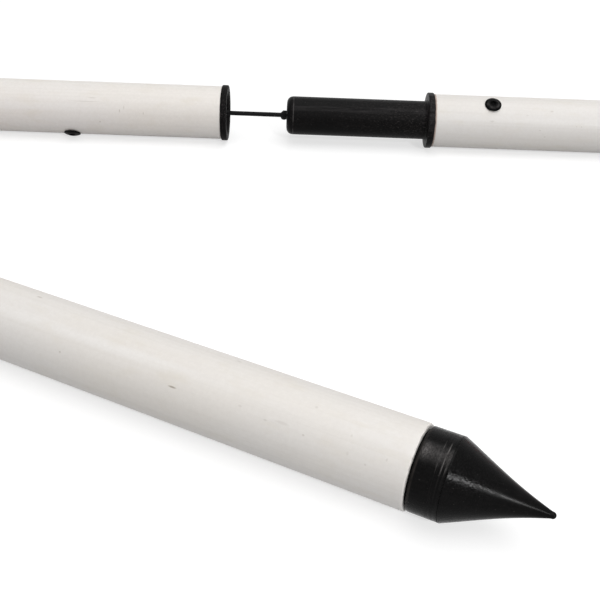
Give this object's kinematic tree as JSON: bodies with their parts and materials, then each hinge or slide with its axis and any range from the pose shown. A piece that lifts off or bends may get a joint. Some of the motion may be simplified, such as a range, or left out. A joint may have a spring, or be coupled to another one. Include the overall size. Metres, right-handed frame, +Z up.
{
  "type": "collapsible range pole",
  "caption": "Shock-corded sectional range pole laid out half folded: white tubes with red bands, black flanged plug and socket joints, and a pointed ground tip.",
  "frame": {"origin": "centre of the laid-out pole's footprint, on the surface it lies on", "axes": "+X along the middle and upper tubes towards the pole's top, +Y away from the folded lower section, +Z up"},
  "size_m": [0.8554, 0.2702, 0.0269],
  "materials": {
    "white_tube": "satin off-white painted fibreglass tube",
    "red_band": "red vinyl band",
    "black_nylon": "turned black nylon, satin",
    "black_screw": "black oxide steel",
    "shock_cord": "black braided elastic cord",
    "cord_stop": "black moulded ball",
    "zinc_steel": "zinc plated steel",
    "crimp_aluminium": "crimped aluminium"
  },
  "bodies": {
    "middle_section": {"middle_tube": "white_tube", "middle_band": "red_band", "lower_socket": "black_nylon", "upper_socket": "black_nylon", "lower_socket_screw": "black_screw", "upper_socket_screw": "black_screw", "cord_core": "shock_cord", "upper_cord_stretch": "shock_cord"},
    "upper_stop": {"upper_cord_bead": "cord_stop"},
    "upper_section": {"upper_plug": "black_nylon", "upper_tube": "white_tube", "upper_band": "red_band", "upper_plug_screw": "black_screw", "top_cap": "black_nylon", "upper_cord_tail": "shock_cord", "upper_cord_washer": "zinc_steel", "upper_cord_ferrule": "crimp_aluminium"},
    "cord_lean": {"lower_cord_lean": "shock_cord"},
    "cord_link": {"lower_cord_link": "shock_cord"},
    "lower_stop": {"lower_cord_bead": "cord_stop"},
    "lower_section": {"lower_plug": "black_nylon", "lower_tube": "white_tube", "lower_band": "red_band", "lower_plug_screw": "black_screw", "point_tip": "black_nylon", "lower_cord_tail": "shock_cord", "lower_cord_washer": "zinc_steel", "lower_cord_ferrule": "crimp_aluminium"}
  },
  "joints": [
    {"name": "upper_pull", "type": "slide", "parent": "middle_section", "child": "upper_stop", "axis": [1, 0, 0], "range_m": [-0.097, 0], "deforming": ["upper_cord_stretch"]},
    {"name": "upper_twist", "type": "hinge", "parent": "upper_stop", "child": "upper_section", "pos_m": [-0.01683, 0.12175, 0.01335], "axis": [1, 0, 0], "continuous": true},
    {"name": "lower_fold", "type": "hinge", "parent": "middle_section", "child": "lower_stop", "pos_m": [-0.42283, 0.10769, 0.01335], "axis": [0, 0, -1], "range_deg": [-25, 155], "deforming": ["lower_cord_link"]},
    {"name": "cord_lean_swing", "type": "hinge", "parent": "middle_section", "child": "cord_lean", "pos_m": [-0.34653, 0.12175, 0.01335], "axis": [0, 0, -1], "range_deg": [-0.95, 5.63]},
    {"name": "cord_rim_bend", "type": "hinge", "parent": "cord_lean", "child": "cord_link", "pos_m": [-0.42085, 0.11449, 0.01335], "axis": [0, 0, -1], "range_deg": [-11.7, 72.02]},
    {"name": "lower_twist", "type": "hinge", "parent": "lower_stop", "child": "lower_section", "pos_m": [-0.42552, 0.09343, 0.01335], "axis": [0.9063, -0.4226, 0], "continuous": true}
  ],
  "couplings": [
    {"joint": "cord_lean_swing", "follows": "lower_fold", "ratio": 0.035979},
    {"joint": "cord_rim_bend", "follows": "lower_fold", "ratio": 0.46402}
  ]
}
